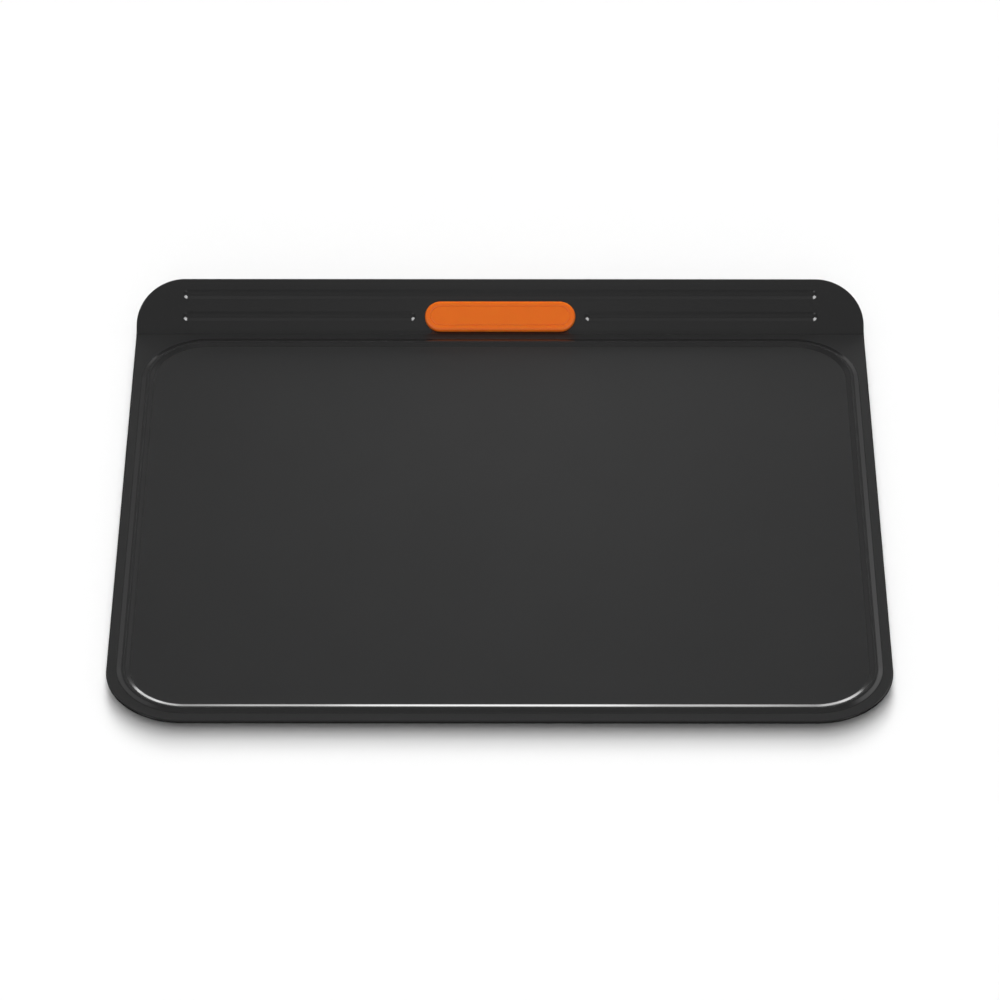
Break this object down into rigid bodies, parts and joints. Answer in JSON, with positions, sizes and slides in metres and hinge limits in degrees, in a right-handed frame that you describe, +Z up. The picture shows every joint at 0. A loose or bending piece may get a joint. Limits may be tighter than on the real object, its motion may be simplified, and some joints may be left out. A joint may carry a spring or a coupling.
{
  "type": "insulated cookie sheet",
  "caption": "Flat rectangular double-skinned baking sheet with a pressed ridge, hemmed rim and a sloping ribbed flange carrying a soft silicone grip.",
  "frame": {"origin": "centre of the overall footprint, on the surface the sheet stands on", "axes": "+X to the right, +Y from the open front edge towards the grip flange, +Z up"},
  "size_m": [0.406, 0.3566, 0.0258],
  "materials": {
    "coated_steel": "satin dark grey non-stick coating on pressed steel",
    "coated_steel_under": "satin dark grey non-stick coating on pressed steel",
    "silicone": "matt orange silicone"
  },
  "bodies": {
    "root": {"upper_sheet": "coated_steel", "lower_sheet": "coated_steel_under", "grip": "silicone"}
  },
  "joints": []
}
